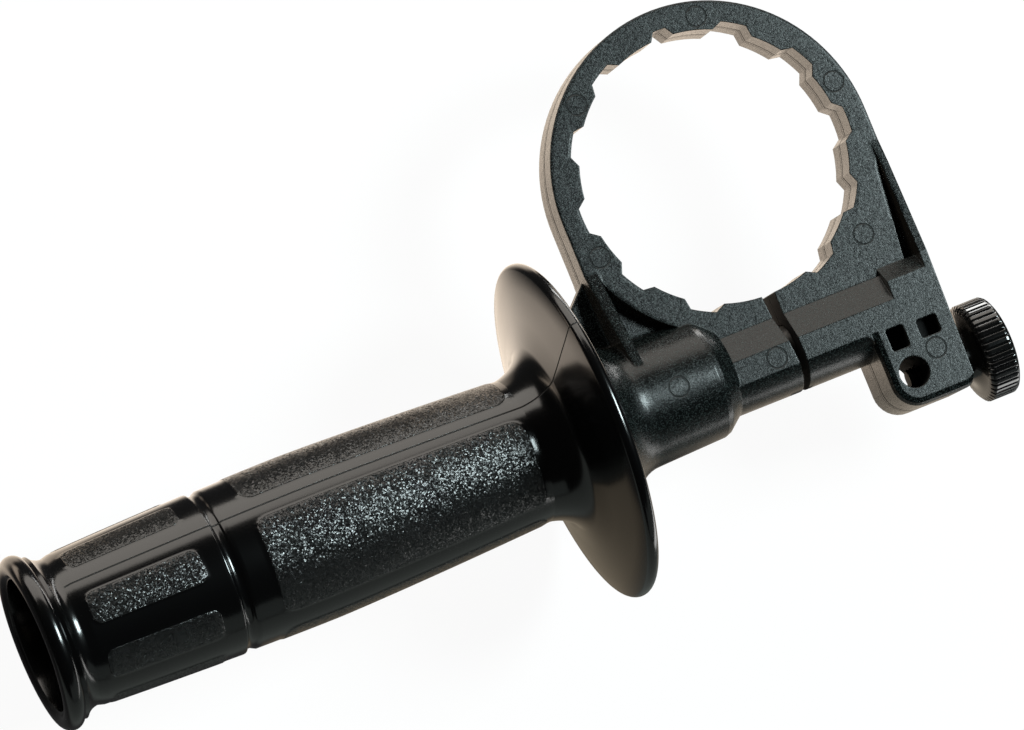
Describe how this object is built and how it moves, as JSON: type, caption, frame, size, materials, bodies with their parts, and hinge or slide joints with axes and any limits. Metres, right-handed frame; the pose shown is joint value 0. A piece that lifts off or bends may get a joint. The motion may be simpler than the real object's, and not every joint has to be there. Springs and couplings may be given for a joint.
{
  "type": "power tool side handle",
  "caption": "Side handle for a hand-held power tool: toothed split clamping ring, hollow grip with a round hand guard, and a knurled thumb screw that holds a depth rod.",
  "frame": {"origin": "middle of the clamping ring's bore, in the ring's middle plane", "axes": "+Z along the ring's bore axis towards the face seen in the picture, +X along the handle axis from the grip's open end to the thumb knob, +Y from the handle axis to the ring"},
  "size_m": [0.198, 0.1035, 0.068],
  "materials": {
    "clamp_nylon": "fine speckled glass-filled nylon, matte",
    "grip_plastic": "satin black with stippled panels",
    "knob_plastic": "gloss black, straight knurl",
    "bolt_steel": "zinc plated",
    "black_steel": "black oxide, threaded",
    "bush_brass": "turned"
  },
  "bodies": {
    "clamp": {"clamp_ring": "clamp_nylon", "clamp_bolt": "bolt_steel", "block_bush": "bush_brass"},
    "washer": {"thrust_washer": "bolt_steel"},
    "handle": {"grip": "grip_plastic", "grip_bush": "bolt_steel"},
    "screw": {"thumb_screw": "black_steel"},
    "knob": {"thumb_knob": "knob_plastic"}
  },
  "joints": [
    {"name": "grip_travel", "type": "slide", "parent": "clamp", "child": "washer", "axis": [-1, 0, 0], "range_m": [0, 0.00376]},
    {"name": "grip_turn", "type": "hinge", "parent": "washer", "child": "handle", "pos_m": [-0.06, -0.0371, 0], "axis": [-1, 0, 0], "range_deg": [0, 1080]},
    {"name": "screw_travel", "type": "slide", "parent": "clamp", "child": "screw", "axis": [1, 0, 0], "range_m": [0, 0.00421]},
    {"name": "knob_turn", "type": "hinge", "parent": "screw", "child": "knob", "pos_m": [0.036, -0.0517, 0], "axis": [1, 0, 0], "range_deg": [0, 2160]}
  ],
  "couplings": [
    {"joint": "grip_travel", "follows": "grip_turn", "m_per_rad": 0.00019894},
    {"joint": "screw_travel", "follows": "knob_turn", "m_per_rad": 0.00011141}
  ]
}
